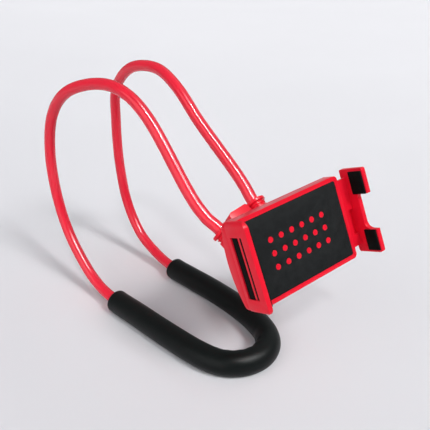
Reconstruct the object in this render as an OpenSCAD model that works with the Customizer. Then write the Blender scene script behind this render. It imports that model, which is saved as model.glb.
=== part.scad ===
// Neck-hung adjustable phone stand: a bendable loop in a red hose, a foam neck sleeve,
// a hub, a ball joint with a lock nut, and a spring-loaded phone clamp.
// X runs along the neck loop towards its bend, Y across it, Z up from the surface it stands on.
// The origin lies on that surface, under the middle of the sleeve's bend.

/* [Neck loop] */
// Length of the loop's centre line from its bend to its rear end
loop_l = 173; // [160:1:190]
// Width between the two arms' centre lines
loop_w = 58; // [54:1:70]
// Height of the loop's centre line at its top
loop_h = 148; // [140:1:165]
// Outer diameter of the hose
hose_d = 7; // [6:0.5:8]
// Diameter of the bendable core wire
wire_d = 3.4; // [2.5:0.1:4]
// Outer diameter of the foam sleeve
sleeve_d = 15; // [13:0.5:17]
// Depth that the foam is pressed flat by its own weight
sleeve_flat = 0.5; // [0.2:0.1:0.8]

/* [Hub] */
// Distance of the hub's top face behind the bend
hub_back = 20.6; // [18.6:0.2:22]
// Height of the hub's top face
hub_z = 81.9; // [79:0.1:84]
// Sideways offset of the hub from the loop's middle
hub_side = 3; // [0:0.2:4]
// Lean of the hub to one side
hub_roll = 12; // [0:1:16]
// Slope of the two arms where they enter the hub
arm_dip = 36; // [33:1:40]
// Angle by which each arm turns outwards
arm_splay = 8; // [4:1:10]
// Distance between the two sockets
socket_gap = 27; // [26:0.5:30]
// How much further out the far socket sits than the near one
socket_step = 2.4; // [1.6:0.2:6]
// Radius of the hub around each socket
hub_r = 5.8; // [5.6:0.1:6.4]
// Length of the hub along its sockets
hub_l = 9.4; // [9:0.2:11]
// Depth that each hose end goes into its socket
seat_depth = 7; // [6:0.5:8]
// Diameter of each collar's flange
flange_d = 12.6; // [12:0.2:14]
// Height of each collar above the hub
collar_l = 5.4; // [5:0.2:7]

/* [Ball joint] */
// Diameter of the ball
ball_d = 12; // [11:0.5:13]
// Distance of the ball's centre in front of the hub's top face
ball_ahead = 21.9; // [20.5:0.1:23]
// Sideways offset of the ball's centre from the loop's middle
ball_side = 2.6; // [1.8:0.1:3.4]
// Height of the ball's centre
ball_z = 79.9; // [78:0.1:82]
// Rise of the ball stud towards the clamp
stud_rise = 14; // [10:1:18]
// Diameter of the stud's neck
neck_d = 5; // [4.5:0.5:5.5]
// Outer diameter of the lock nut over its ribs
nut_d = 22; // [21.6:0.2:24]

/* [Clamp] */
// Length of the clamp's tray
clamp_l = 71.5; // [68:0.5:80]
// Height of the clamp's tray
clamp_h = 45.5; // [41:0.5:48]
// Overhang of the two jaws above and below the tray
jaw_over = 0.5; // [0.3:0.1:1.5]
// Rise of the jaws in front of the tray
jaw_rise = 10.2; // [9.8:0.2:12]
// Thickness of the fixed jaw
fixed_jaw_t = 2.6; // [2.4:0.1:3.4]
// Thickness of the sliding jaw
slide_jaw_t = 2.6; // [2.4:0.1:3.4]
// Length of the tongue that shows with the clamp closed
tongue_show = 8.2; // [6:0.2:10]
// Travel of the sliding jaw
jaw_travel = 20; // [16:1:20]
// Lean of the clamp backwards
clamp_tilt = 21.5; // [15:0.5:25]
// Turn of the clamp to one side
clamp_yaw = -8; // [-12:1:0]
// Turn of the clamp in its own plane
clamp_roll = 5.5; // [0:0.5:8]
// Width of the tray's rim
rim_w = 2.2; // [2:0.2:3]
// Thickness of the front pad
pad_t = 1.2; // [1:0.1:1.4]

/* [Hidden] */

// Smoothness of round parts, and the overrun that lets cuts pass right through
$fn = 48;
over = 1;
// Clearances: a turning or sliding fit, a fixed seat, and a gap between moving faces
fit = 0.05;
seat = 0.1;
gap = 0.3;

// Colours
red = [0.85, 0.08, 0.14];
hose_red = [0.9, 0.16, 0.22];
black = [0.1, 0.11, 0.11];
steel = [0.7, 0.71, 0.73];
pale = [0.85, 0.84, 0.8];

// Sides of the hose's and wire's rings, and rings in each stretch of the route
hose_sides = 16;
wire_sides = 8;
sleeve_sides = 20;
steps = 4;
hose_r = hose_d / 2;
wire_r = wire_d / 2;
rest_z = sleeve_d / 2 - sleeve_flat;

// Hub: straight lead of the hose out of its socket, and the hub's frame
lead_in = 1;
lead_out = 8;
hub_pos = [-hub_back, hub_side, hub_z];
ferrule_t = 0.4;
ferrule_r = hose_r + seat + ferrule_t;
socket_r = ferrule_r + seat;

// Places of each arm as shares of the loop's length, half width and height, from the hub down to the sleeve
near_arm_shares = [
    [0.195, 0.5, 0.575], [0.26, 0.555, 0.655], [0.425, 0.59, 0.885], [0.55, 0.64, 0.975],
    [0.685, 0.73, 0.978], [0.825, 0.9, 0.915], [0.925, 0.95, 0.785], [0.977, 0.93, 0.59],
    [0.966, 0.92, 0.385], [0.903, 0.93, 0.21], [0.796, 0.95, 0.08], [0.7, 0.97, 0.02]];
sleeve_shares = [
    [0.6, 0.97, 0], [0.47, 0.965, 0], [0.31, 0.965, 0], [0.16, 0.93, 0], [0.072, 0.81, 0], [0.019, 0.53, 0],
    [0, 0.14, 0], [0.02, -0.24, 0], [0.072, -0.52, 0], [0.15, -0.7, 0], [0.26, -0.82, 0], [0.4, -0.88, 0],
    [0.52, -0.885, 0], [0.63, -0.9, 0]];
far_arm_shares = [
    [0.745, -0.96, 0.015], [0.872, -1, 0.085], [0.958, -1.01, 0.245], [0.997, -1.03, 0.455],
    [0.992, -1, 0.665], [0.945, -0.88, 0.845], [0.825, -0.8, 0.968], [0.675, -0.79, 0.998],
    [0.546, -0.7, 0.948], [0.41, -0.61, 0.828], [0.26, -0.6, 0.69], [0.2, -0.59, 0.63]];

// Turns of a point about the X and the Y axis
function rot_x(p, a) = [p[0], p[1] * cos(a) - p[2] * sin(a), p[1] * sin(a) + p[2] * cos(a)];
function rot_y(p, a) = [p[0] * cos(a) + p[2] * sin(a), p[1], p[2] * cos(a) - p[0] * sin(a)];
function unit(v) = v / norm(v);

// A point of the hub's own frame, whose Z axis runs out of the sockets, in the stand's frame
function hub_point(p) = hub_pos + rot_x(rot_y(p, arm_dip - 90), hub_roll);
// A point on a socket's axis, d outside the hub's top face; side is -1 for the near arm and 1 for the far one
function socket_point(side, d) =
    hub_point([0, side * (socket_gap / 2 + d * sin(arm_splay)),
        side * socket_step / 2 + d * cos(arm_splay)]);
function loop_point(s) = [-s[0] * loop_l, -s[1] * loop_w / 2, rest_z + s[2] * (loop_h - rest_z)];

// The loop's route: near socket, near arm, sleeve, far arm, far socket
route = concat(
    [for (d = [-seat_depth, lead_in, lead_out]) socket_point(-1, d)],
    [for (s = near_arm_shares) loop_point(s)],
    [for (s = sleeve_shares) loop_point(s)],
    [for (s = far_arm_shares) loop_point(s)],
    [for (d = [lead_out, lead_in, -seat_depth]) socket_point(1, d)]);
last = len(route) - 1;
sleeve_first = 3 + len(near_arm_shares);
sleeve_last = sleeve_first + len(sleeve_shares) - 1;

// Point at share t between b and c on the smooth curve through a, b, c and d
function smooth(a, b, c, d, t) =
    b + t * (c - a) / 2
    + t * t * (a - 2.5 * b + 2 * c - d / 2)
    + t * t * t * (1.5 * b - 1.5 * c + d / 2 - a / 2);
function route_at(i, t) = smooth(
    i == 0 ? 2 * route[0] - route[1] : route[i - 1],
    route[i],
    route[i + 1],
    i + 2 > last ? 2 * route[last] - route[last - 1] : route[i + 2],
    t);
function centre_line(first, final) = concat(
    [for (i = [first : final - 1]) for (k = [0 : steps - 1]) route_at(i, k / steps)],
    [route[final]]);
loop_line = centre_line(0, last);
loop_n = len(loop_line);
loop_tangents = [for (i = [0 : loop_n - 1])
    unit(loop_line[min(i + 1, loop_n - 1)] - loop_line[max(i - 1, 0)])];

// A normal at each ring that turns no more than the route does
function carried(n, t) = unit(n - (n * t) * t);
loop_normals = [for (i = 0, n = carried([0, 1, 0], loop_tangents[0]); i < loop_n;
    i = i + 1, n = carried(n, loop_tangents[min(i, loop_n - 1)])) n];

// One ring of the tube at step i of the route, kept above the surface that the stand rests on
function ring(i, r, sides) = [for (k = [0 : sides - 1])
    let (a = 360 * k / sides, b = cross(loop_tangents[i], loop_normals[i]),
        p = loop_line[i] + r * (cos(a) * loop_normals[i] + sin(a) * b))
    [p[0], p[1], max(p[2], 0)]];

// Faces between the rings of a tube, from point number at, turned inside out for a bore
function skin(at, rings, sides, inside) = [for (i = [0 : rings - 2]) for (k = [0 : sides - 1])
    let (p = at + i * sides + k, q = at + i * sides + (k + 1) % sides)
    for (f = [[p, q, q + sides], [p, q + sides, p + sides]])
    inside ? f : [f[2], f[1], f[0]]];

// A solid tube between two steps of the route
module rod_along(r, sides, i0, i1) {
    rings = i1 - i0 + 1;
    polyhedron(
        points = [for (i = [i0 : i1]) each ring(i, r, sides)],
        faces = concat(
            skin(0, rings, sides, false),
            [for (k = [1 : sides - 2]) [0, k, k + 1]],
            [for (k = [1 : sides - 2]) [0, k + 1, k] + (rings - 1) * sides * [1, 1, 1]]));
}

// A hollow tube between two steps of the route, with as many sides inside as the piece that it holds
module tube_along(r_out, sides_out, r_in, sides_in, i0, i1) {
    difference() {
        rod_along(r_out, sides_out, i0, i1);
        bore_along(r_in, sides_in, i0, i1);
    }
}

// The bore's cutter, a little longer than the tube at both ends
module bore_along(r, sides, i0, i1) {
    lead = [loop_tangents[i0] * over, loop_tangents[i1] * over];
    first_ring = [for (p = ring(i0, r, sides)) p - lead[0]];
    last_ring = [for (p = ring(i1, r, sides)) p + lead[1]];
    rings = i1 - i0 + 3;
    polyhedron(
        points = concat(first_ring, [for (i = [i0 : i1]) each ring(i, r, sides)], last_ring),
        faces = concat(
            skin(0, rings, sides, false),
            [for (k = [1 : sides - 2]) [0, k, k + 1]],
            [for (k = [1 : sides - 2]) [0, k + 1, k] + (rings - 1) * sides * [1, 1, 1]]));
}

// Red hose of the whole loop, from one socket to the other
module flex_hose() {
    color(hose_red) tube_along(hose_r, hose_sides, wire_r + fit, wire_sides, 0, loop_n - 1);
}

// Bendable wire inside the hose
module core_wire() {
    color(steel) rod_along(wire_r, wire_sides, 0, loop_n - 1);
}

// Foam sleeve that rests on the neck, pressed flat where it stands
module neck_sleeve() {
    color(black) tube_along(sleeve_d / 2, sleeve_sides, hose_r + fit, hose_sides,
        sleeve_first * steps, sleeve_last * steps);
}

// Hub frame: Z out of the sockets, Y across the loop, X to the front
module in_hub() {
    translate(hub_pos) rotate([hub_roll, 0, 0]) rotate([0, arm_dip - 90, 0]) children();
}
module in_socket(side) {
    in_hub() translate([0, side * socket_gap / 2, side * socket_step / 2]) rotate([-side * arm_splay, 0, 0])
        children();
}

// Ball joint: its centre, and the stud's frame with X along the stud towards the clamp
ball_r = ball_d / 2;
ball_pos = [ball_ahead - hub_back, ball_side, ball_z];
module in_stud() {
    translate(ball_pos) rotate([0, -stud_rise, 0]) children();
}
// A turned piece along the stud, from distance a to b behind the ball's centre
module along_stud(r, a, b) {
    in_stud() translate([-b, 0, 0]) rotate([0, 90, 0]) cylinder(r = r, h = b - a);
}
neck_r = neck_d / 2;
barrel_r = 6.8;
barrel_front = 10.9;
barrel_back = 21;
head_r = 3.9;
head_near = 16.2;
head_far = 18;
hub_screw_r = 0.9;
hub_screw_head_r = 1.6;
hub_screw_head_t = 1.1;
hub_screw_mid = -1.6;
hub_screw_y = 6.5;
hub_screw_z = 3.4;
hub_screw_l = 4;

// Ferrules crimped on the two hose ends, closed at the bottom
module end_ferrules() {
    color(pale) for (side = [-1, 1]) in_socket(side)
        translate([0, 0, -seat_depth - ferrule_t - seat])
            difference() {
                cylinder(r = ferrule_r, h = seat_depth + ferrule_t + seat - collar_spigot - seat);
                translate([0, 0, ferrule_t]) cylinder(r = hose_r + seat, h = seat_depth + over);
            }
}

// Collars: a flange over two grip ribs, with a spigot in the hub
collar_spigot = 2;
collar_spigot_r = 4.75;
collar_waist_r = 4.7;
collar_rib_r = 5.4;
flange_t = 1.8;
rib_t = 1;
rib_pitch = 1.8;
module collar(side) {
    color(red) in_socket(side) difference() {
        union() {
            translate([0, 0, -collar_spigot]) cylinder(r = collar_spigot_r, h = collar_spigot + collar_l / 2);
            cylinder(r = collar_waist_r, h = collar_l - flange_t / 2);
            for (k = [0, 1]) translate([0, 0, k * rib_pitch]) cylinder(r = collar_rib_r, h = rib_t);
            translate([0, 0, collar_l - flange_t]) cylinder(r = flange_d / 2, h = flange_t);
        }
        translate([0, 0, -collar_spigot - over])
            cylinder(r = hose_r + 2 * gap, h = collar_spigot + collar_l + 2 * over);
    }
}
module near_collar() { collar(-1); }
module far_collar() { collar(1); }

// Frame of the hub's web, turned so that it runs from one socket to the other
web_l = norm([socket_gap, socket_step]);
// Inset of the web's faces from the sockets' outlines
web_in = 0.3;
module in_web() {
    in_hub() rotate([atan(socket_step / socket_gap), 0, 0]) children();
}
// Place of a screw of the hub, with Z to the front
module hub_screw_place(side) {
    translate([0, hub_screw_mid + side * hub_screw_y, -hub_screw_z]) rotate([0, 90, 0]) children();
}

// Saddle between the two collars: its depth, its ends to the two sides, its top, corners and lean
saddle_d = 10.4;
saddle_near = 7.6;
saddle_far = 6.1;
saddle_top = 7.75;
saddle_r = 2;
saddle_lean = 7.6;
module saddle() {
    in_web() rotate([90, 0, 90]) rotate([0, 0, -saddle_lean])
        plate(-saddle_near, -hub_l / 2, saddle_near + saddle_far, hub_l / 2 + saddle_top, saddle_r,
            -saddle_d / 2, saddle_d / 2);
}

// Hub block before it is split, with its barrel for the stud
module hub_block() {
    difference() {
        union() {
            in_hub() for (side = [-1, 1])
                translate([0, side * socket_gap / 2, side * socket_step / 2 - hub_l])
                    cylinder(r = hub_r, h = hub_l);
            in_web() translate([web_in - hub_r, web_in - web_l / 2, -hub_l])
                cube([2 * (hub_r - web_in), web_l - 2 * web_in, hub_l - web_in]);
            saddle();
            along_stud(barrel_r, barrel_front, barrel_back);
        }
        for (side = [-1, 1]) in_socket(side) {
            translate([0, 0, -seat_depth - ferrule_t - 2 * seat]) cylinder(r = socket_r, h = hub_l + over);
            translate([0, 0, -collar_spigot - seat])
                cylinder(r = collar_spigot_r + seat, h = collar_spigot + over + hub_r);
            translate([0, 0, -seat]) cylinder(r = collar_rib_r + seat, h = hub_r);
        }
        along_stud(neck_r + seat, ball_r, head_near + over);
        along_stud(head_r + seat, head_near - seat, head_far + seat);
        for (side = [-1, 1]) in_web() hub_screw_place(side) {
            translate([0, 0, -hub_screw_l - seat])
                cylinder(r = hub_screw_r + seat, h = 2 * hub_screw_l + seat);
            translate([0, 0, -2 * hub_r])
                cylinder(r = hub_screw_head_r + seat, h = 2 * hub_r - hub_screw_l + hub_screw_head_t);
        }
    }
}
// Half space in front of or behind the hub's split
module hub_half(side) {
    span = 3 * socket_gap;
    in_hub() translate([side > 0 ? 0 : -span, -span / 2, -span / 2]) cube(span);
}
module hub_front_shell() {
    color(red) intersection() {
        hub_block();
        hub_half(1);
    }
}
module hub_back_shell() {
    color(red) intersection() {
        hub_block();
        hub_half(-1);
    }
}

// Two screws that hold the hub's shells together
module hub_screws() {
    color(steel) for (side = [-1, 1]) in_web() hub_screw_place(side) {
        translate([0, 0, -hub_screw_l]) cylinder(r = hub_screw_r, h = 2 * hub_screw_l - seat);
        translate([0, 0, -hub_screw_l - seat]) cylinder(r = hub_screw_head_r, h = hub_screw_head_t);
    }
}

// Ball on a necked stud whose head the two shells hold
module ball_stud() {
    color(steel) {
        translate(ball_pos) sphere(r = ball_r);
        along_stud(neck_r, 0, head_near + seat);
        along_stud(head_r, head_near, head_far);
    }
}

// Clamp frame: X along the tray from the fixed jaw, Y up it, Z out of its front; Z = 0 is the rim
ball_to_front = 19;
module in_ball() {
    translate(ball_pos) rotate([0, -clamp_tilt, clamp_yaw]) rotate([90, 0, 90]) rotate([0, 0, clamp_roll])
        children();
}
module in_clamp() {
    in_ball() translate([-clamp_l / 2, 0, ball_to_front]) children();
}

// Liners between the ball and its socket: a cup in front and a ring behind
liner_t = 0.8;
liner_r_in = ball_r + fit;
liner_r_out = liner_r_in + liner_t;
seat_floor = 3.2;
ring_near = 0.8;
ring_far = 3;
module liner_between(z0, z1) {
    color(pale) in_ball() intersection() {
        difference() {
            sphere(r = liner_r_out);
            sphere(r = liner_r_in);
        }
        translate([-ball_d, -ball_d, z0]) cube([2 * ball_d, 2 * ball_d, z1 - z0]);
    }
}
module ball_seat() { liner_between(seat_floor, ball_d); }
module ball_ring() { liner_between(-ring_far, -ring_near); }

// Tray, wall and cavity depths, counted from the rim's plane
tray_d = 5.2;
panel_t = 1.2;
pad_sunk = 0.2;
panel_front = pad_sunk + pad_t;
panel_back = panel_front + panel_t;
corner_r = 2.5;
grip_t = 1;
jaw_h = clamp_h + 2 * jaw_over;
pad_x0 = fixed_jaw_t + grip_t;
cover_edge_d = 7.2;
cover_mid_d = 11.6;
cover_bow_r = (pow(clamp_h / 2, 2) + pow(cover_mid_d - cover_edge_d, 2)) / (2 * (cover_mid_d - cover_edge_d));

// Outline with round corners, from corner [x, y] over [w, h]
module outline(x, y, w, h, r) {
    translate([x + r, y]) square([w - 2 * r, h]);
    translate([x, y + r]) square([w, h - 2 * r]);
    for (px = [r, w - r]) for (py = [r, h - r]) translate([x + px, y + py]) circle(r = r);
}
// Flat plate with that outline, from z0 up to z1
module plate(x, y, w, h, r, z0, z1) {
    translate([0, 0, z0]) linear_extrude(z1 - z0) outline(x, y, w, h, r);
}

// Grip studs that stand through holes of the front pad
stud_rows = 3;
stud_columns = 6;
grip_stud_r = 1.5;
field_x = 35;
field_y = 14;
field_left = 20;
module grip_studs(r, z0, z1) {
    for (i = [0 : stud_columns - 1]) for (j = [0 : stud_rows - 1])
        translate([field_left + i * field_x / (stud_columns - 1), (j / (stud_rows - 1) - 0.5) * field_y, z0])
            cylinder(r = r, h = z1 - z0, $fn = 24);
}

// Tongue of the sliding jaw, and the slot that it runs in
tongue_inset = 4;
tongue_w = clamp_h - 2 * tongue_inset;
tongue_front = panel_back + gap;
tongue_t = 1.5;
tongue_back = tongue_front + tongue_t;

// Window of the fixed jaw, and its rib
window_l = 31.4;
window_z0 = -3;
window_z1 = 5.5;
rib_in = 0.7;
rib_z0 = 1.7;
rib_z1 = 3.3;
jaw_corner_r = 4;
jaw_end_r = 2.8;
module fixed_jaw() {
    difference() {
        // Wall with round front corners and round ends
        intersection() {
            rotate([90, 0, 90]) linear_extrude(fixed_jaw_t) union() {
                translate([-jaw_h / 2, -tray_d]) square([jaw_h, tray_d + jaw_rise - jaw_corner_r]);
                translate([-jaw_h / 2 + jaw_corner_r, 0]) square([jaw_h - 2 * jaw_corner_r, jaw_rise]);
                for (side = [-1, 1]) translate([side * (jaw_h / 2 - jaw_corner_r), jaw_rise - jaw_corner_r])
                    circle(r = jaw_corner_r);
            }
            plate(0, -jaw_h / 2, 3 * jaw_end_r, jaw_h, jaw_end_r, -tray_d - over, jaw_rise + over);
        }
        translate([-over, -window_l / 2, window_z0])
            cube([fixed_jaw_t + 2 * over, window_l, window_z1 - window_z0]);
    }
    translate([rib_in, -window_l / 2 - over, rib_z0])
        cube([fixed_jaw_t / 2, window_l + 2 * over, rib_z1 - rib_z0]);
}
// Tray with its rim, front panel, fixed jaw and grip studs
module clamp_tray() {
    color(red) in_clamp() {
        difference() {
            plate(0, -clamp_h / 2, clamp_l, clamp_h, corner_r, -tray_d, 0);
            plate(pad_x0, -clamp_h / 2 + rim_w, clamp_l - rim_w - pad_x0, clamp_h - 2 * rim_w, corner_r / 2,
                -panel_front, over);
            translate([fixed_jaw_t, -tongue_w / 2 - gap, -tray_d - over])
                cube([clamp_l, tongue_w + 2 * gap, tray_d + over - panel_back]);
            translate([-over, -window_l / 2, window_z0])
                cube([fixed_jaw_t + 2 * over, window_l, -window_z0 + over]);
            cover_screw_places() translate([0, 0, -tray_d - over])
                cylinder(r = screw_r + seat, h = screw_bite + over);
        }
        fixed_jaw();
        grip_studs(grip_stud_r, -panel_back, -pad_sunk / 2);
    }
}

// Black front pad with a hole round each grip stud
module front_pad() {
    color(black) in_clamp() difference() {
        plate(pad_x0 + fit, -clamp_h / 2 + rim_w + fit, clamp_l - rim_w - pad_x0 - 2 * fit,
            clamp_h - 2 * rim_w - 2 * fit, corner_r / 2, -panel_front, -pad_sunk);
        grip_studs(grip_stud_r + fit, -panel_front - over, over);
    }
}

// Rubber grip of the fixed jaw: a strip inside, with a tongue that fills its window
grip_z0 = 0.3;
grip_top_gap = 0.7;
grip_z1 = jaw_rise - grip_top_gap;
window_fill = 0.5;
fill_z0 = -2.6;
module fixed_grip_pad() {
    color(black) in_clamp() difference() {
        union() {
            translate([fixed_jaw_t, -jaw_h / 2 + jaw_corner_r, grip_z0])
                cube([grip_t, jaw_h - 2 * jaw_corner_r, grip_z1 - grip_z0]);
            translate([fixed_jaw_t / 2, -window_l / 2 + fit, grip_z0])
                cube([fixed_jaw_t / 2 + grip_t / 2, window_l - 2 * fit, window_z1 - fit - grip_z0]);
            translate([window_fill, -window_l / 2 + fit, fill_z0])
                cube([fixed_jaw_t - window_fill, window_l - 2 * fit, window_z1 - fit - fill_z0]);
        }
        translate([0, -window_l, rib_z0 - fit])
            cube([rib_in + fixed_jaw_t / 2 + fit, 2 * window_l, rib_z1 - rib_z0 + 2 * fit]);
    }
}

// Back cover: a bowed shell with rails for the tongue, a spring room and the ball's socket neck
screw_r = 1;
screw_head_r = 1.9;
screw_bite = 2.2;
screw_inset = 1.9;
screw_head_t = 1;
room_w = 24;
room_x0 = 3;
room_end_wall = 2.5;
room_floor = 8.4;
socket_neck_r = 8.6;
socket_mouth = 1.6;
finger_slot = 1;
module cover_screw_places() {
    for (x = [2 * screw_inset + fixed_jaw_t, clamp_l - 2 * screw_inset]) for (side = [-1, 1])
        translate([x, side * (clamp_h / 2 - screw_inset), 0]) children();
}
module back_cover() {
    color(red) in_clamp() difference() {
        union() {
            intersection() {
                plate(0, -clamp_h / 2, clamp_l, clamp_h, corner_r, -cover_mid_d, -tray_d);
                translate([-over, 0, cover_bow_r - cover_mid_d]) rotate([0, 90, 0])
                    cylinder(r = cover_bow_r, h = clamp_l + 2 * over, $fn = 120);
            }
            translate([clamp_l / 2, 0, -ball_to_front - socket_mouth])
                cylinder(r = socket_neck_r, h = ball_to_front + socket_mouth - cover_mid_d + over);
        }
        // Room for the carriage, the rods and the springs
        translate([room_x0, -room_w / 2, -room_floor])
            cube([clamp_l - room_x0 - room_end_wall, room_w, room_floor]);
        // Socket for the ball and its liners, open to the rear
        translate([clamp_l / 2, 0, -ball_to_front]) {
            sphere(r = liner_r_out + fit);
            translate([0, 0, -socket_mouth - over]) cylinder(r = liner_r_out + fit, h = socket_mouth + over);
            for (a = [45, 135]) rotate([0, 0, a])
                translate([-ball_d, -finger_slot / 2, -socket_mouth - over])
                    cube([2 * ball_d, finger_slot, socket_mouth + over + liner_t]);
        }
        rod_places() translate([room_x0 - rod_bite, 0, -rod_z]) rotate([0, 90, 0])
            cylinder(r = rod_r + fit / 2, h = rod_l);
        cover_screw_places() {
            translate([0, 0, -cover_mid_d - over]) cylinder(r = screw_r + seat, h = cover_mid_d);
            translate([0, 0, -cover_mid_d - over])
                cylinder(r = screw_head_r + seat, h = cover_mid_d - screw_seat + over);
        }
    }
}
screw_seat = 6.6;

// Screws that hold the cover to the tray
module cover_screws() {
    color(steel) in_clamp() cover_screw_places() {
        translate([0, 0, -screw_seat]) cylinder(r = screw_r, h = screw_seat - tray_d + screw_bite - seat);
        translate([0, 0, -screw_seat - screw_head_t]) cylinder(r = screw_head_r, h = screw_head_t);
    }
}

// Two rods that guide the carriage
rod_r = 1;
rod_y = 9.6;
rod_z = 6.8;
rod_bite = 1.2;
rod_l = clamp_l - room_x0 - room_end_wall + 2 * rod_bite;
module rod_places() {
    for (side = [-1, 1]) translate([0, side * rod_y, 0]) children();
}
module guide_rods() {
    color(steel) in_clamp() rod_places() translate([room_x0 - rod_bite, 0, -rod_z]) rotate([0, 90, 0])
        cylinder(r = rod_r, h = rod_l);
}

// Carriage and springs
carriage_l = 6;
carriage_slack = 7;
carriage_x = clamp_l - room_end_wall - carriage_l - jaw_travel - carriage_slack;
carriage_w = 22.6;
carriage_back = room_floor - gap;
spring_r = 1.3;
spring_wire_r = 0.3;
spring_y = 4.2;
spring_z = 6.8;
spring_turns = 20;
spring_x0 = 9;
anchor_x = 6;
anchor_t = 2.4;
spring_rings = 8;
spring_sides = 6;

// A point at the heart of the spring's wire, at turn t
function coil_point(t) =
    [spring_x0 + t * (carriage_x - spring_x0) / spring_turns,
        spring_r * cos(360 * t), spring_r * sin(360 * t)];
function coil_ring(t) = let (p = coil_point(t), ahead = unit(coil_point(t + 0.01) - coil_point(t - 0.01)),
    out = unit([0, p[1], p[2]]), side = cross(ahead, out))
    [for (k = [0 : spring_sides - 1])
        p + spring_wire_r * (cos(360 * k / spring_sides) * out + sin(360 * k / spring_sides) * side)];
module coil() {
    rings = spring_turns * spring_rings + 1;
    polyhedron(
        points = [for (i = [0 : rings - 1]) each coil_ring(i / spring_rings)],
        faces = concat(
            skin(0, rings, spring_sides, false),
            [for (k = [1 : spring_sides - 2]) [0, k, k + 1]],
            [for (k = [1 : spring_sides - 2]) [0, k + 1, k] + (rings - 1) * spring_sides * [1, 1, 1]]));
}
module jaw_springs() {
    color(steel) in_clamp() for (side = [-1, 1]) translate([0, side * spring_y, -spring_z]) coil();
}

// Bar that anchors the springs in the cover
module spring_anchor() {
    color(pale) in_clamp() translate([anchor_x, -room_w / 2 + seat, -room_floor])
        difference() {
            cube([anchor_t, room_w - 2 * seat, room_floor - tray_d]);
            for (side = [-1, 1]) translate([-over, room_w / 2 - seat + side * rod_y, room_floor - rod_z])
                rotate([0, 90, 0]) cylinder(r = rod_r + fit, h = anchor_t + 2 * over);
        }
}

// Sliding jaw: tongue, carriage on the rods, and a wall with two prongs
prong_top_l = 13.7;
prong_low_l = 12.9;
web_rise = 2.9;
scallop_r = 4;
jaw_base_d = 5.8;
prong_r = 1.2;
recess_l = 14;
recess_w = 3.4;
recess_d = 2.2;
shelf_t = 1.6;
shelf_rim = 1.2;
recess_y = -5.5;
jaw_x = clamp_l + tongue_show;
// Outline of the wall: two prongs with round corners, and fillets where they meet the web
module jaw_outline() {
    intersection() {
        outline(-jaw_h / 2, -jaw_base_d, jaw_h, jaw_base_d + jaw_rise, prong_r);
        union() {
            translate([-jaw_h / 2, -jaw_base_d]) square([jaw_h, jaw_base_d + web_rise]);
            translate([jaw_h / 2 - prong_top_l, 0]) square([prong_top_l, jaw_rise]);
            translate([-jaw_h / 2, 0]) square([prong_low_l, jaw_rise]);
            difference() {
                translate([-jaw_h / 2 + prong_low_l, web_rise]) square(scallop_r);
                translate([-jaw_h / 2 + prong_low_l + scallop_r, web_rise + scallop_r])
                    circle(r = scallop_r);
            }
            difference() {
                translate([jaw_h / 2 - prong_top_l - scallop_r / 2, web_rise]) square(scallop_r / 2);
                translate([jaw_h / 2 - prong_top_l - scallop_r / 2, web_rise + scallop_r / 2])
                    circle(r = scallop_r / 2);
            }
        }
    }
}
module sliding_jaw() {
    color(red) in_clamp() difference() {
        union() {
            translate([carriage_x, -tongue_w / 2, -tongue_back])
                cube([jaw_x - carriage_x + over, tongue_w, tongue_t]);
            translate([carriage_x, -carriage_w / 2, -carriage_back])
                cube([carriage_l, carriage_w, carriage_back - tongue_front]);
            translate([jaw_x, 0, 0]) rotate([90, 0, 90]) linear_extrude(slide_jaw_t) jaw_outline();
            // Shelf below the recess
            translate([jaw_x - recess_w - shelf_rim, recess_y - recess_l / 2 - shelf_rim,
                -tongue_back - shelf_t])
                cube([recess_w + shelf_rim + over, recess_l + 2 * shelf_rim, shelf_t + tongue_t / 2]);
        }
        rod_places() translate([carriage_x - over, 0, -rod_z]) rotate([0, 90, 0])
            cylinder(r = rod_r + fit, h = carriage_l + 2 * over);
        for (side = [-1, 1]) translate([carriage_x - over, side * spring_y, -spring_z]) rotate([0, 90, 0])
            cylinder(r = spring_r + spring_wire_r + gap, h = over + gap);
        translate([jaw_x - recess_w, recess_y - recess_l / 2, -tongue_front - recess_d])
            cube([recess_w, recess_l, recess_d + over]);
    }
}

// Rubber grips of the two prongs
upper_pad_z0 = 0.9;
lower_pad_z0 = 2;
prong_pad_top_gap = 0.5;
prong_pad_z1 = jaw_rise - prong_pad_top_gap;
module prong_pad(y0, l, z0) {
    color(black) in_clamp() translate([jaw_x - grip_t, y0, z0]) cube([grip_t, l, prong_pad_z1 - z0]);
}
prong_pad_inset = 1.4;
module upper_grip_pad() { prong_pad(jaw_h / 2 - prong_top_l, prong_top_l - prong_pad_inset, upper_pad_z0); }
module lower_grip_pad() {
    prong_pad(-jaw_h / 2 + prong_pad_inset, prong_low_l - prong_pad_inset, lower_pad_z0);
}

// Lock nut: a ribbed ring on the socket's neck, with a lip behind that presses the ring on the ball
nut_front = 5.6;
nut_back = 5;
nut_ribs = 16;
nut_rib_r = 0.9;
nut_core_r = nut_d / 2 - nut_rib_r;
mouth_r = 5.1;
mouth_flare_r = 6.6;
module lock_nut() {
    color(red) in_ball() difference() {
        union() {
            translate([0, 0, -nut_back]) cylinder(r = nut_core_r, h = nut_back + nut_front);
            for (k = [0 : nut_ribs - 1]) rotate([0, 0, 360 * k / nut_ribs])
                translate([nut_core_r, 0, -nut_back + nut_rib_r])
                    cylinder(r = nut_rib_r, h = nut_back + nut_front - 2 * nut_rib_r, $fn = 16);
        }
        translate([0, 0, -socket_mouth - gap])
            cylinder(r = socket_neck_r + fit, h = nut_front + socket_mouth + gap + over);
        sphere(r = liner_r_out + fit);
        translate([0, 0, -ring_far - fit]) mirror([0, 0, 1])
            cylinder(r1 = mouth_r, r2 = mouth_flare_r, h = nut_back - ring_far);
        translate([0, 0, -nut_back - over]) cylinder(r = mouth_r, h = nut_back);
    }
}

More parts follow.
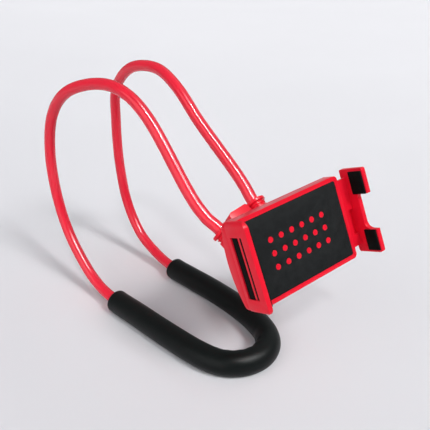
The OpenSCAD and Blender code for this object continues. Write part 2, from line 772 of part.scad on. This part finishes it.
flex_hose();
core_wire();
neck_sleeve();
end_ferrules();
near_collar();
far_collar();
hub_front_shell();
hub_back_shell();
hub_screws();
ball_stud();
ball_seat();
ball_ring();
lock_nut();
clamp_tray();
front_pad();
fixed_grip_pad();
back_cover();
cover_screws();
guide_rods();
jaw_springs();
spring_anchor();
sliding_jaw();
upper_grip_pad();
lower_grip_pad();
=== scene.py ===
import math
import bpy
import bmesh
from mathutils import Matrix, Vector

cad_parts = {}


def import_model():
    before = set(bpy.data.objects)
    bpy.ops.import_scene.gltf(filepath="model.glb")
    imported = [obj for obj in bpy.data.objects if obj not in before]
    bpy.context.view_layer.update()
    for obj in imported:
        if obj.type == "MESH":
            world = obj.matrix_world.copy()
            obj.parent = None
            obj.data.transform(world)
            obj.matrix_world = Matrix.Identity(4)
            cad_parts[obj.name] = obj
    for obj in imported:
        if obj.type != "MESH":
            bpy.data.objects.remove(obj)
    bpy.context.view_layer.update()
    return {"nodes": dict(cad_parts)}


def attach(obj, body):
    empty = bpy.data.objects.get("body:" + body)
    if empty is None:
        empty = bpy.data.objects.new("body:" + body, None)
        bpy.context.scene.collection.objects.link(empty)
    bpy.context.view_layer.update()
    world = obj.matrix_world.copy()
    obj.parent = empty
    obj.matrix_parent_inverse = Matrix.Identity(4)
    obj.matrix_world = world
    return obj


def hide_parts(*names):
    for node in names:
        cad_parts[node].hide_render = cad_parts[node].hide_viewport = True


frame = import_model()
nodes = frame["nodes"]
MM = 0.001


# Camera
def look_camera():
    forward = Vector((-0.6460, 0.6260, -0.4368)).normalized()
    right = Vector((0.6959, 0.7181, 0.0)).normalized()
    up = right.cross(forward).normalized()
    cam = bpy.data.objects.new("camera", bpy.data.cameras.new("camera"))
    cam.data.sensor_width = 36.0
    cam.data.lens = 51.9
    cam.data.shift_x = 0.0
    cam.data.shift_y = 0.007
    cam.data.clip_start = 0.02
    cam.data.clip_end = 20.0
    turn = Matrix((right, up, -forward)).transposed().to_4x4()
    cam.matrix_world = Matrix.Translation(Vector((0.1849, -0.2182, 0.2314))) @ turn
    bpy.context.scene.collection.objects.link(cam)
    bpy.context.scene.camera = cam


look_camera()


# Route of the gooseneck, in mm
LOOP_L, LOOP_W, LOOP_H = 173.0, 58.0, 148.0
HOSE_R, SLEEVE_R, REST_Z = 3.5, 7.5, 7.0
HUB = Vector((-20.6, 3.0, 81.9))
ARM_DIP, HUB_ROLL, ARM_SPLAY = 36.0, 12.0, 8.0
SOCKET_GAP, SOCKET_STEP = 27.0, 2.4
LEADS = (-7.0, 1.0, 8.0)
NEAR = [(0.195, 0.5, 0.575), (0.26, 0.555, 0.655), (0.425, 0.59, 0.885), (0.55, 0.64, 0.975),
        (0.685, 0.73, 0.978), (0.825, 0.9, 0.915), (0.925, 0.95, 0.785), (0.977, 0.93, 0.59),
        (0.966, 0.92, 0.385), (0.903, 0.93, 0.21), (0.796, 0.95, 0.08), (0.7, 0.97, 0.02)]
SLEEVE = [(0.6, 0.97, 0), (0.47, 0.965, 0), (0.31, 0.965, 0), (0.16, 0.93, 0), (0.072, 0.81, 0),
          (0.019, 0.53, 0), (0, 0.14, 0), (0.02, -0.24, 0), (0.072, -0.52, 0), (0.15, -0.7, 0),
          (0.26, -0.82, 0), (0.4, -0.88, 0), (0.52, -0.885, 0), (0.63, -0.9, 0)]
FAR = [(0.745, -0.96, 0.015), (0.872, -1, 0.085), (0.958, -1.01, 0.245), (0.997, -1.03, 0.455),
       (0.992, -1, 0.665), (0.945, -0.88, 0.845), (0.825, -0.8, 0.968), (0.675, -0.79, 0.998),
       (0.546, -0.7, 0.948), (0.41, -0.61, 0.828), (0.26, -0.6, 0.69), (0.2, -0.59, 0.63)]

HUB_FRAME = Matrix.Translation(HUB) @ Matrix.Rotation(math.radians(HUB_ROLL), 4, "X") \
    @ Matrix.Rotation(math.radians(ARM_DIP - 90.0), 4, "Y")


def socket_point(side, d):
    a = math.radians(ARM_SPLAY)
    out = side * SOCKET_STEP / 2 + d * math.cos(a)
    return HUB_FRAME @ Vector((0, side * (SOCKET_GAP / 2 + d * math.sin(a)), out))


def loop_point(s):
    return Vector((-s[0] * LOOP_L, -s[1] * LOOP_W / 2, REST_Z + s[2] * (LOOP_H - REST_Z)))


ROUTE = [socket_point(-1, d) for d in LEADS] + [loop_point(s) for s in NEAR + SLEEVE + FAR] \
    + [socket_point(1, d) for d in reversed(LEADS)]
SLEEVE_FIRST = len(LEADS) + len(NEAR)
SLEEVE_LAST = SLEEVE_FIRST + len(SLEEVE) - 1


def smooth_line(first, final, steps):
    """Points along the route's smooth curve from one of its points to another."""
    n = len(ROUTE) - 1
    out = []
    for i in range(first, final):
        a = 2 * ROUTE[0] - ROUTE[1] if i == 0 else ROUTE[i - 1]
        b, c = ROUTE[i], ROUTE[i + 1]
        d = 2 * ROUTE[n] - ROUTE[n - 1] if i + 2 > n else ROUTE[i + 2]
        for k in range(steps):
            t = k / steps
            out.append(b + t * (c - a) / 2 + t * t * (a - 2.5 * b + 2 * c - d / 2)
                       + t ** 3 * (1.5 * b - 1.5 * c + d / 2 - a / 2))
    out.append(ROUTE[final].copy())
    return out


def frames_along(line):
    """Tangent, side and up at each point, the side carried along so that it doesn't twist."""
    n = len(line)
    tangents = [(line[min(i + 1, n - 1)] - line[max(i - 1, 0)]).normalized() for i in range(n)]
    side = Vector((0, 1, 0))
    out = []
    for t in tangents:
        side = (side - side.dot(t) * t).normalized()
        out.append((t, side.copy(), t.cross(side)))
    return out


def new_object(name, mesh):
    ob = bpy.data.objects.new(name, mesh)
    bpy.context.scene.collection.objects.link(ob)
    return ob


def shade_smooth(ob, angle=40.0):
    for p in ob.data.polygons:
        p.use_smooth = True
    ob.data.set_sharp_from_angle(angle=math.radians(angle))


def lofted(name, rings, closed_ends=True):
    """A skin over rings of points with the same number of points each, in mm."""
    m = len(rings[0])
    verts = [v * MM for r in rings for v in r]
    faces = []
    for i in range(len(rings) - 1):
        for k in range(m):
            a, b = i * m + k, i * m + (k + 1) % m
            faces.append((a, b, b + m, a + m))
    if closed_ends:
        faces.append(tuple(reversed(range(m))))
        faces.append(tuple(range((len(rings) - 1) * m, len(rings) * m)))
    mesh = bpy.data.meshes.new(name)
    mesh.from_pydata([tuple(v) for v in verts], [], faces)
    mesh.update()
    bm = bmesh.new()
    bm.from_mesh(mesh)
    bmesh.ops.recalc_face_normals(bm, faces=bm.faces)
    bm.to_mesh(mesh)
    bm.free()
    return new_object(name, mesh)


# Materials
def node_tree(name):
    mat = bpy.data.materials.new(name)
    mat.use_nodes = True
    nt = mat.node_tree
    return mat, nt, nt.nodes["Principled BSDF"]


def add(nt, kind, **values):
    n = nt.nodes.new(kind)
    for key, value in values.items():
        setattr(n, key, value)
    return n


def noise(nt, coords, scale, detail=3.0, roughness=0.55):
    n = add(nt, "ShaderNodeTexNoise")
    n.inputs["Scale"].default_value = scale
    n.inputs["Detail"].default_value = detail
    n.inputs["Roughness"].default_value = roughness
    nt.links.new(coords, n.inputs["Vector"])
    return n.outputs["Fac"]


def ramp(nt, fac, stops):
    n = add(nt, "ShaderNodeValToRGB")
    els = n.color_ramp.elements
    while len(els) < len(stops):
        els.new(0.5)
    for e, (pos, col) in zip(els, stops):
        e.position = pos
        e.color = (*col, 1.0) if len(col) == 3 else col
    nt.links.new(fac, n.inputs["Fac"])
    return n.outputs["Color"]


def spread(nt, fac, low, high):
    n = add(nt, "ShaderNodeMapRange")
    n.inputs["To Min"].default_value = low
    n.inputs["To Max"].default_value = high
    nt.links.new(fac, n.inputs["Value"])
    return n.outputs["Result"]


def bump(nt, height, strength, distance, normal=None):
    n = add(nt, "ShaderNodeBump")
    n.inputs["Strength"].default_value = strength
    n.inputs["Distance"].default_value = distance
    nt.links.new(height, n.inputs["Height"])
    if normal is not None:
        nt.links.new(normal, n.inputs["Normal"])
    return n.outputs["Normal"]


def glossy_plastic(name, dark, light, rough, specular, coat):
    mat, nt, bsdf = node_tree(name)
    coords = add(nt, "ShaderNodeTexCoord").outputs["Object"]
    cloud = noise(nt, coords, 38.0, 3.0)
    nt.links.new(ramp(nt, cloud, [(0.3, dark), (0.7, light)]), bsdf.inputs["Base Color"])
    rub = spread(nt, noise(nt, coords, 160.0, 3.0), rough[0], rough[1])
    nt.links.new(rub, bsdf.inputs["Roughness"])
    swell = bump(nt, noise(nt, coords, 90.0, 1.0), 0.05, 0.0004)
    nt.links.new(bump(nt, noise(nt, coords, 900.0, 1.0), 0.02, 0.00005, swell), bsdf.inputs["Normal"])
    bsdf.inputs["Specular IOR Level"].default_value = specular
    bsdf.inputs["Coat Weight"].default_value = coat
    bsdf.inputs["Coat Roughness"].default_value = 0.06
    return mat


def foam(name):
    mat, nt, bsdf = node_tree(name)
    coords = add(nt, "ShaderNodeTexCoord").outputs["Object"]
    cloud = noise(nt, coords, 60.0, 4.0)
    tone = ramp(nt, cloud, [(0.25, (0.0012, 0.0026, 0.0024)), (0.75, (0.0024, 0.0042, 0.0040))])
    nt.links.new(tone, bsdf.inputs["Base Color"])
    nt.links.new(spread(nt, noise(nt, coords, 300.0, 4.0), 0.36, 0.48), bsdf.inputs["Roughness"])
    cells = add(nt, "ShaderNodeTexVoronoi")
    cells.inputs["Scale"].default_value = 2300.0
    nt.links.new(coords, cells.inputs["Vector"])
    grain = bump(nt, cells.outputs["Distance"], 0.25, 0.00015)
    nt.links.new(bump(nt, noise(nt, coords, 150.0, 3.0), 0.1, 0.0006, grain), bsdf.inputs["Normal"])
    bsdf.inputs["Specular IOR Level"].default_value = 0.17
    return mat


def rubber(name, dark, light, rough=(0.55, 0.75), specular=0.25):
    mat, nt, bsdf = node_tree(name)
    coords = add(nt, "ShaderNodeTexCoord").outputs["Object"]
    cloud = noise(nt, coords, 220.0, 5.0, 0.65)
    nt.links.new(ramp(nt, cloud, [(0.3, dark), (0.7, light)]), bsdf.inputs["Base Color"])
    nt.links.new(spread(nt, noise(nt, coords, 500.0, 3.0), rough[0], rough[1]), bsdf.inputs["Roughness"])
    nt.links.new(bump(nt, noise(nt, coords, 1500.0, 3.0), 0.3, 0.0002), bsdf.inputs["Normal"])
    bsdf.inputs["Specular IOR Level"].default_value = specular
    return mat


def metal(name, colour, rough):
    mat, nt, bsdf = node_tree(name)
    coords = add(nt, "ShaderNodeTexCoord").outputs["Object"]
    cloud = noise(nt, coords, 90.0, 3.0)
    dull = tuple(c * 0.82 for c in colour)
    nt.links.new(ramp(nt, cloud, [(0.3, dull), (0.7, colour)]), bsdf.inputs["Base Color"])
    nt.links.new(spread(nt, noise(nt, coords, 900.0, 4.0), rough[0], rough[1]), bsdf.inputs["Roughness"])
    nt.links.new(bump(nt, noise(nt, coords, 1800.0, 3.0), 0.08, 0.0001), bsdf.inputs["Normal"])
    bsdf.inputs["Metallic"].default_value = 1.0
    return mat


HOSE = glossy_plastic("hose_red", (0.70, 0.012, 0.034), (0.76, 0.016, 0.040), (0.20, 0.28),
                      0.25, 0.3)
SHELL = glossy_plastic("shell_red", (0.70, 0.005, 0.021), (0.76, 0.007, 0.026), (0.26, 0.36),
                       0.16, 0.05)
FOAM = foam("foam_black")
PAD = rubber("pad_rubber", (0.0075, 0.0085, 0.0090), (0.0130, 0.0145, 0.0150), (0.6, 0.8), 0.07)
GRIP = rubber("grip_rubber", (0.0025, 0.003, 0.003), (0.005, 0.0055, 0.005), (0.6, 0.8), 0.06)
STEEL = metal("steel", (0.60, 0.60, 0.62), (0.25, 0.42))
WIRE = metal("wire", (0.75, 0.75, 0.76), (0.3, 0.5))
LINER = glossy_plastic("liner", (0.62, 0.60, 0.54), (0.68, 0.66, 0.60), (0.4, 0.5), 0.5, 0.0)


# Pieces made from the CAD shapes
def dress(node, mat, width=0.35, segments=3, body=None):
    """A copy of a CAD node, with flat faces joined and sharp edges rounded, that stands for it."""
    src = nodes[node]
    bm = bmesh.new()
    bm.from_mesh(src.data)
    bmesh.ops.remove_doubles(bm, verts=bm.verts, dist=2e-6)
    bmesh.ops.dissolve_limit(bm, angle_limit=math.radians(0.8), verts=bm.verts, edges=bm.edges)
    mesh = bpy.data.meshes.new(node + "_skin")
    bm.to_mesh(mesh)
    bm.free()
    ob = new_object(node + "_skin", mesh)
    bev = ob.modifiers.new("round", "BEVEL")
    bev.width = width * MM
    bev.segments = segments
    bev.limit_method = "ANGLE"
    bev.angle_limit = math.radians(32)
    bev.use_clamp_overlap = True
    bev.harden_normals = False
    apply_modifiers(ob)
    shade_smooth(ob, 35.0)
    ob.data.materials.clear()
    ob.data.materials.append(mat)
    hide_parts(node)
    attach(ob, body)
    return ob


def apply_modifiers(ob):
    deps = bpy.context.evaluated_depsgraph_get()
    deps.update()
    mesh = bpy.data.meshes.new_from_object(ob.evaluated_get(deps))
    ob.modifiers.clear()
    ob.data = mesh


def repaint(node, mat):
    ob = nodes[node]
    ob.data.materials.clear()
    ob.data.materials.append(mat)


# Fineness of the hose and the sleeve: points to each step of the route, and sides round each
ROUTE_STEPS, HOSE_SIDES, SLEEVE_SIDES = 12, 40, 56


def hose():
    line = smooth_line(0, len(ROUTE) - 1, ROUTE_STEPS)
    turns = [2 * math.pi * k / HOSE_SIDES for k in range(HOSE_SIDES)]
    rings = []
    for p, (t, s, u) in zip(line, frames_along(line)):
        rings.append([p + HOSE_R * (math.cos(a) * s + math.sin(a) * u) for a in turns])
    ob = lofted("hose_skin", rings)
    shade_smooth(ob, 60)
    ob.data.materials.append(HOSE)
    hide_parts("flex_hose")
    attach(ob, "neck")
    return ob


# Folds on the inside of the sleeve's bend, the play round the hose and the rounded ends, in mm
FOLD, FOLD_PITCH, FOLD_CURL = 0.7, 8.0, 20.0
BORE_PLAY = 0.05
END_CLEAR = 1.8
# How far each end ring lies from the end, and how much smaller than the sleeve it is
END_RINGS = [(0.0, 1.3), (0.12, 0.75), (0.45, 0.3), (1.0, 0.05), (1.5, 0.0)]


def sleeve():
    line = smooth_line(SLEEVE_FIRST, SLEEVE_LAST, ROUTE_STEPS)
    tf = frames_along(line)
    n = len(line)
    # profile at each end: bore mouth, rounded rim, then the full radius
    ends = [(0.0, HOSE_R + BORE_PLAY)] + [(back, SLEEVE_R - less) for back, less in END_RINGS]
    rings = []

    def ring(p, s, u, r, inward=Vector((0, 0, 0)), fold=0.0):
        out = []
        for k in range(SLEEVE_SIDES):
            a = 2 * math.pi * k / SLEEVE_SIDES
            away = math.cos(a) * s + math.sin(a) * u
            q = p + (r - fold * max(0.0, away.dot(inward)) ** 2) * away
            q.z = max(q.z, 0.0)
            out.append(q)
        return out

    # walk the line by its length so that the end profiles stay thin
    for back, r in ends:
        t, s, u = tf[0]
        rings.append(ring(line[0] + t * back, s, u, r))
    walked = 0.0
    for i in range(1, n - 1):
        walked += (line[i] - line[i - 1]).length
        if min((line[i] - line[0]).length, (line[i] - line[-1]).length) < END_CLEAR:
            continue
        t, s, u = tf[i]
        # folds on the inside of the bend, deeper where it is tighter
        turn = tf[i + 1][0] - tf[i - 1][0]
        tight = min(1.0, FOLD_CURL * turn.length / (line[i + 1] - line[i - 1]).length)
        fold = FOLD * tight ** 3 * (0.5 - 0.5 * math.cos(2 * math.pi * walked / FOLD_PITCH))
        inward = turn.normalized() if turn.length > 1e-6 else s
        rings.append(ring(line[i], s, u, SLEEVE_R, inward, fold))
    for back, r in reversed(ends):
        t, s, u = tf[-1]
        rings.append(ring(line[-1] - t * back, s, u, r))
    ob = lofted("sleeve_foam", rings, closed_ends=False)
    shade_smooth(ob, 50)
    ob.data.materials.append(FOAM)
    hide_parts("neck_sleeve")
    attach(ob, "neck")
    return ob


hose()
sleeve()
for n in ("near_collar", "far_collar"):
    dress(n, SHELL, 0.3, 3, "neck")
for n in ("hub_front_shell", "hub_back_shell"):
    dress(n, SHELL, 0.6, 3, "neck")
dress("lock_nut", SHELL, 0.25, 2, "nut")
dress("clamp_tray", SHELL, 0.7, 4, "clamp")
dress("back_cover", SHELL, 0.7, 4, "clamp")
dress("sliding_jaw", SHELL, 0.45, 3, "jaw")
dress("front_pad", PAD, 0.12, 2, "clamp")
dress("fixed_grip_pad", GRIP, 0.15, 2, "clamp")
dress("upper_grip_pad", GRIP, 0.2, 2, "jaw")
dress("lower_grip_pad", GRIP, 0.2, 2, "jaw")
for n in ("core_wire", "end_ferrules"):
    repaint(n, WIRE)
for n in ("hub_screws", "ball_stud", "cover_screws", "guide_rods", "jaw_springs"):
    repaint(n, STEEL)
for n in ("ball_seat", "ball_ring", "spring_anchor"):
    repaint(n, LINER)


# Floor and light
def floor():
    """A pale floor with painted shade: darker towards the front, lighter towards the back and the right.
    """
    mesh = bpy.data.meshes.new("floor")
    bm = bmesh.new()
    bmesh.ops.create_grid(bm, x_segments=2, y_segments=2, size=6.0)
    bm.to_mesh(mesh)
    bm.free()
    ob = new_object("floor", mesh)
    mat, nt, bsdf = node_tree("floor")
    coords = add(nt, "ShaderNodeTexCoord").outputs["Object"]
    place = add(nt, "ShaderNodeMapping", vector_type="TEXTURE")
    place.inputs["Location"].default_value = FLOOR_START
    place.inputs["Rotation"].default_value = (0.0, 0.0, math.radians(FLOOR_TURN))
    place.inputs["Scale"].default_value = (FLOOR_SPAN, FLOOR_SPAN, 1.0)
    nt.links.new(coords, place.inputs["Vector"])
    # painted shade: the floor's colour runs from darker near the camera's spot to lighter far back
    slope = add(nt, "ShaderNodeTexGradient")
    nt.links.new(place.outputs["Vector"], slope.inputs["Vector"])
    tone = ramp(nt, slope.outputs["Fac"], FLOOR_PAINTED_SHADE)
    mottle = add(nt, "ShaderNodeMix", data_type="RGBA", blend_type="MULTIPLY")
    mottle.inputs["Factor"].default_value = 1.0
    nt.links.new(tone, mottle.inputs["A"])
    mottles = ramp(nt, noise(nt, coords, 3.0, 2.0), [(0.3, (0.985,) * 3), (0.7, (1.0,) * 3)])
    nt.links.new(mottles, mottle.inputs["B"])
    nt.links.new(mottle.outputs["Result"], bsdf.inputs["Base Color"])
    bsdf.inputs["Roughness"].default_value = 0.7
    bsdf.inputs["Specular IOR Level"].default_value = 0.0
    ob.data.materials.append(mat)


def lamp(name, kind, azimuth, height):
    """A lamp in a direction given in degrees round and above the floor, turned to the stand."""
    data = bpy.data.lights.new(name, kind)
    ob = bpy.data.objects.new(name, data)
    a, h = math.radians(azimuth), math.radians(height)
    towards = Vector((math.cos(h) * math.cos(a), math.cos(h) * math.sin(a), math.sin(h)))
    ob.rotation_euler = towards.to_track_quat("Z", "Y").to_euler()
    bpy.context.scene.collection.objects.link(ob)
    return ob, data, towards


def sun(name, azimuth, height, angle, strength, shines=True):
    ob, data, _ = lamp(name, "SUN", azimuth, height)
    data.angle = math.radians(angle)
    data.energy = strength
    ob.visible_glossy = shines


def strip(name, azimuth, height, away, size, watts):
    """A flat lamp that only shows as a highlight, and lights no colour."""
    ob, data, towards = lamp(name, "AREA", azimuth, height)
    ob.location = Vector((-0.06, 0.0, 0.09)) + towards * away
    data.shape = "RECTANGLE"
    data.size, data.size_y = size
    data.energy = watts
    ob.visible_diffuse = False


def world():
    w = bpy.data.worlds.new("studio")
    bpy.context.scene.world = w
    w.use_nodes = True
    bg = w.node_tree.nodes["Background"]
    bg.inputs["Color"].default_value = (0.95, 0.96, 1.0, 1.0)
    bg.inputs["Strength"].default_value = 0.24


FLOOR_START = (0.185, -0.218, 0.0)
FLOOR_TURN = 88.0
FLOOR_SPAN = 2.0
# floor colours along the gradient, painted shade that stands in for the light's falloff
FLOOR_PAINTED_SHADE = [(0.05, (0.70, 0.70, 0.73)), (0.2, (0.78, 0.78, 0.81)), (0.45, (0.83, 0.83, 0.86)),
               (1.0, (0.86, 0.86, 0.89))]
floor()
world()
sun("key", 0.0, 45.0, 16.0, 2.05, False)
sun("edge", -36.0, 50.0, 7.0, 0.6, False)
sun("left", -88.0, 22.0, 60.0, 1.3)
sun("side", 100.0, 40.0, 60.0, 0.25)
strip("line", 0.0, 66.0, 1.2, (0.045, 0.66), 34.0)
strip("bend", 20.0, 50.0, 1.2, (0.7, 0.5), 11.0)
bpy.context.scene.view_settings.view_transform = "Standard"
